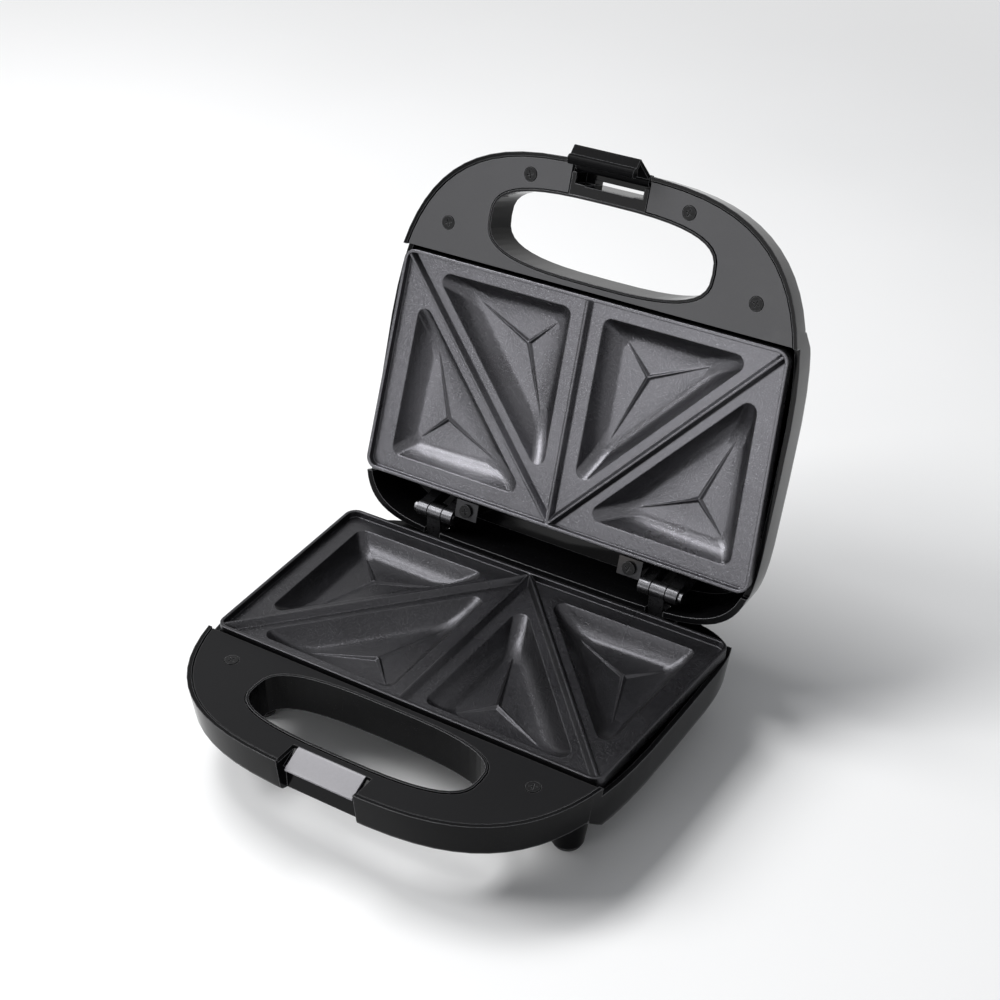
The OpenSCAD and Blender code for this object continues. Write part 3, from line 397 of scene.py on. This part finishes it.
MATERIALS = {
    "housing": gloss_plastic("housing", (0.0038, 0.0038, 0.0042), rough=0.12, shine=0.07),
    "cover_dark": satin_plastic("cover_dark", (0.0085, 0.0085, 0.0092), rough=0.44, shine=0.07),
    # Lid cover: the base cover's satin plastic made lighter, a painted sheen
    "cover_grey": satin_plastic("cover_grey", (0.030, 0.030, 0.033), rough=0.40, shine=0.44),
    "catch_grey": satin_plastic(
        "catch_grey", (0.165, 0.161, 0.176), rough=0.34, grain=700.0, strength=0.06, shine=0.5
    ),
    "clip_black": gloss_plastic(
        "clip_black", (0.0032, 0.0032, 0.0036), rough=0.30, edge=0.0005, shine=0.025
    ),
    "screw_black": dark_metal(
        "screw_black", (0.0045, 0.0045, 0.0050), rough=0.38, metallic=0.0, shine=0.15
    ),
    "hinge_steel": dark_metal("hinge_steel", (0.075, 0.075, 0.080), rough=0.30, metallic=0.9),
    "pan_steel": sheet_steel("pan_steel", (0.036, 0.036, 0.038), rough=0.40),
    "element_steel": sheet_steel("element_steel", (0.26, 0.25, 0.24), rough=0.42, heat=0.35),
    "zinc": sheet_steel(
        "zinc", (0.14, 0.14, 0.147), rough=0.28, brushed=(8.0, 8.0, 8.0), tint=YELLOW_PASSIVATION, heat=0.2
    ),
    "plate_coat": coated_plate("plate_coat"),
    # Darker copy of the plate coat: painted shade for the lower plate
    "plate_coat_painted_shade": coated_plate("plate_coat_painted_shade", tone=0.5),
    "pad_rubber": rubber("pad_rubber", (0.014, 0.014, 0.015)),
    "ceramic": ceramic("ceramic", (0.72, 0.69, 0.61)),
    "lens_red": lens("lens_red", (0.52, 0.02, 0.012)),
    "lens_green": lens("lens_green", (0.02, 0.36, 0.07)),
}


# Shading over seams
def seam_homes(mesh):
    """For each vertex, the lowest index among the vertices at its place."""
    tree = KDTree(len(mesh.vertices))
    for vertex in mesh.vertices:
        tree.insert(vertex.co, vertex.index)
    tree.balance()
    return [min(hit[1] for hit in tree.find_range(vertex.co, SEAM_GAP)) for vertex in mesh.vertices]


def smooth(obj, angle):
    """Rounded shading over seams that turn less than the angle, without moving a vertex."""
    mesh = obj.data
    home = seam_homes(mesh)
    around = {}
    for face in mesh.polygons:
        face.use_smooth = True
        for corner in face.vertices:
            around.setdefault(home[corner], []).append((face.normal.copy(), face.area))
    limit = math.cos(math.radians(angle))
    normals = []
    for face in mesh.polygons:
        own = face.normal.copy()
        for corner in face.vertices:
            total = Vector((0.0, 0.0, 0.0))
            for normal, area in around[home[corner]]:
                if normal.dot(own) >= limit:
                    total += normal * area
            normals.append(total.normalized())
    mesh.normals_split_custom_set(normals)


# Finish of each piece; the lower plate takes a darker copy of the upper plate's coat as painted shade
slots = {piece["node"]: piece["material_slot"] for piece in frame["record"]["subparts"]}
painted_shade_finish = {"lower_plate": "plate_coat_painted_shade"}
for name, obj in nodes.items():
    obj.data.materials.clear()
    obj.data.materials.append(MATERIALS[painted_shade_finish.get(name, slots[name])])
    smooth(obj, ROUND_COAT_SEAM if slots[name] == "plate_coat" else ROUND_SEAM)


# Stage
def seen_directly(tree):
    """1 for camera, glossy and transmission rays, so that metal and glass show the pale studio too."""
    path = tree.nodes.new("ShaderNodeLightPath")
    value = path.outputs["Is Camera Ray"]
    for ray in ("Is Glossy Ray", "Is Transmission Ray"):
        either = tree.nodes.new("ShaderNodeMath")
        either.operation = "MAXIMUM"
        tree.links.new(value, either.inputs[0])
        tree.links.new(path.outputs[ray], either.inputs[1])
        value = either.outputs["Value"]
    return value


def blend_shaders(tree, amount, first, second, out):
    """First shader where the amount is 0, second where it is 1."""
    blend = tree.nodes.new("ShaderNodeMixShader")
    for source, socket in zip((amount, first, second), blend.inputs):
        tree.links.new(source, socket)
    tree.links.new(blend.outputs["Shader"], out.inputs["Surface"])


def floor_paper():
    """White paper that pales into the studio with its distance."""
    net = Net("floor_paper")
    fibre = net.noise(scale=400.0, detail=4.0, rough=0.6)
    large = net.noise(scale=3.0, detail=2.0)
    net.set(
        Base_Color=net.mix(net.spread(large), PAPER_DARK, PAPER_LIGHT),
        Roughness=net.spread(fibre, to_low=0.8, to_high=0.9),
        Specular_IOR_Level=0.2,
        Normal=net.bump(fibre, strength=0.03, distance=0.0003),
    )
    pale = net.add("ShaderNodeEmission")
    net.put(pale.inputs["Color"], PALE_STUDIO)
    distance = net.add("ShaderNodeVectorMath", operation="LENGTH")
    net.link(net.coord, distance.inputs[0])
    far = net.ramp(distance.outputs["Value"], PALE_FROM, PALE_AT)
    amount = net.math("MULTIPLY", far, seen_directly(net.tree))
    blend_shaders(net.tree, amount, net.bsdf.outputs["BSDF"], pale.outputs["Emission"], net.out)
    return net.mat


def make_floor():
    """Flat paper floor under the toaster."""
    corners = [
        (-FLOOR_HALF_WIDTH, FLOOR_FRONT, -FLOOR_DROP),
        (FLOOR_HALF_WIDTH, FLOOR_FRONT, -FLOOR_DROP),
        (FLOOR_HALF_WIDTH, FLOOR_BACK, -FLOOR_DROP),
        (-FLOOR_HALF_WIDTH, FLOOR_BACK, -FLOOR_DROP),
    ]
    mesh = bpy.data.meshes.new("floor")
    mesh.from_pydata(corners, [], [(0, 1, 2, 3)])
    mesh.materials.append(floor_paper())
    obj = bpy.data.objects.new("floor", mesh)
    bpy.context.scene.collection.objects.link(obj)


def make_world():
    """Soft room light, which the camera and the glossy pieces see as a pale studio."""
    studio = bpy.data.worlds.new("studio")
    bpy.context.scene.world = studio
    studio.use_nodes = True
    tree = studio.node_tree
    tree.nodes.clear()
    out = tree.nodes.new("ShaderNodeOutputWorld")
    room = tree.nodes.new("ShaderNodeBackground")
    room.inputs["Color"].default_value = (*ROOM_LIGHT, 1.0)
    room.inputs["Strength"].default_value = ROOM_STRENGTH
    pale = tree.nodes.new("ShaderNodeBackground")
    pale.inputs["Color"].default_value = (*PALE_STUDIO, 1.0)
    blend_shaders(tree, seen_directly(tree), room.outputs["Background"], pale.outputs["Background"], out)


def area_light(name, at, target, size, power):
    """Rectangular lamp that faces its target."""
    data = bpy.data.lights.new(name, "AREA")
    data.shape = "RECTANGLE"
    data.size, data.size_y = size
    data.energy = power
    obj = bpy.data.objects.new(name, data)
    bpy.context.scene.collection.objects.link(obj)
    obj.location = at
    obj.rotation_euler = (Vector(target) - Vector(at)).to_track_quat("-Z", "Y").to_euler()


def make_camera():
    """Photograph's camera."""
    back = Vector((
        math.sin(CAMERA_AZIMUTH) * math.cos(CAMERA_ELEVATION),
        -math.cos(CAMERA_AZIMUTH) * math.cos(CAMERA_ELEVATION),
        math.sin(CAMERA_ELEVATION),
    ))
    level_right = (-back).cross(Vector((0.0, 0.0, 1.0))).normalized()
    level_up = level_right.cross(-back).normalized()
    right = math.cos(CAMERA_ROLL) * level_right + math.sin(CAMERA_ROLL) * level_up
    up = math.cos(CAMERA_ROLL) * level_up - math.sin(CAMERA_ROLL) * level_right
    data = bpy.data.cameras.new("photo_camera")
    data.sensor_width = SENSOR_WIDTH
    data.sensor_fit = "HORIZONTAL"
    data.lens = FOCAL_PIXELS / PHOTO_PIXELS * SENSOR_WIDTH
    data.clip_start = NEAREST_SEEN
    data.clip_end = FARTHEST_SEEN
    obj = bpy.data.objects.new("photo_camera", data)
    bpy.context.scene.collection.objects.link(obj)
    place = Matrix.Identity(4)
    for column, axis in enumerate((right, up, back)):
        place.col[column] = (*axis, 0.0)
    x, y, z = CAMERA_FROM_LIP
    place.col[3] = (x, y + LIP_Y, z + LIP_Z, 1.0)
    obj.matrix_world = place
    bpy.context.scene.camera = obj


make_floor()
make_world()
area_light("key", at=(-1.15, -0.75, 1.35), target=(0.0, 0.03, 0.12), size=(0.8, 0.8), power=23.0)
area_light("top", at=(-0.62, 0.08, 1.45), target=(0.0, 0.05, 0.12), size=(0.6, 0.5), power=12.0)
area_light("front", at=(-0.95, -2.80, 0.50), target=(0.0, 0.0, 0.15), size=(1.3, 1.0), power=14.0)
make_camera()
scene = bpy.context.scene
scene.view_settings.view_transform = "Standard"
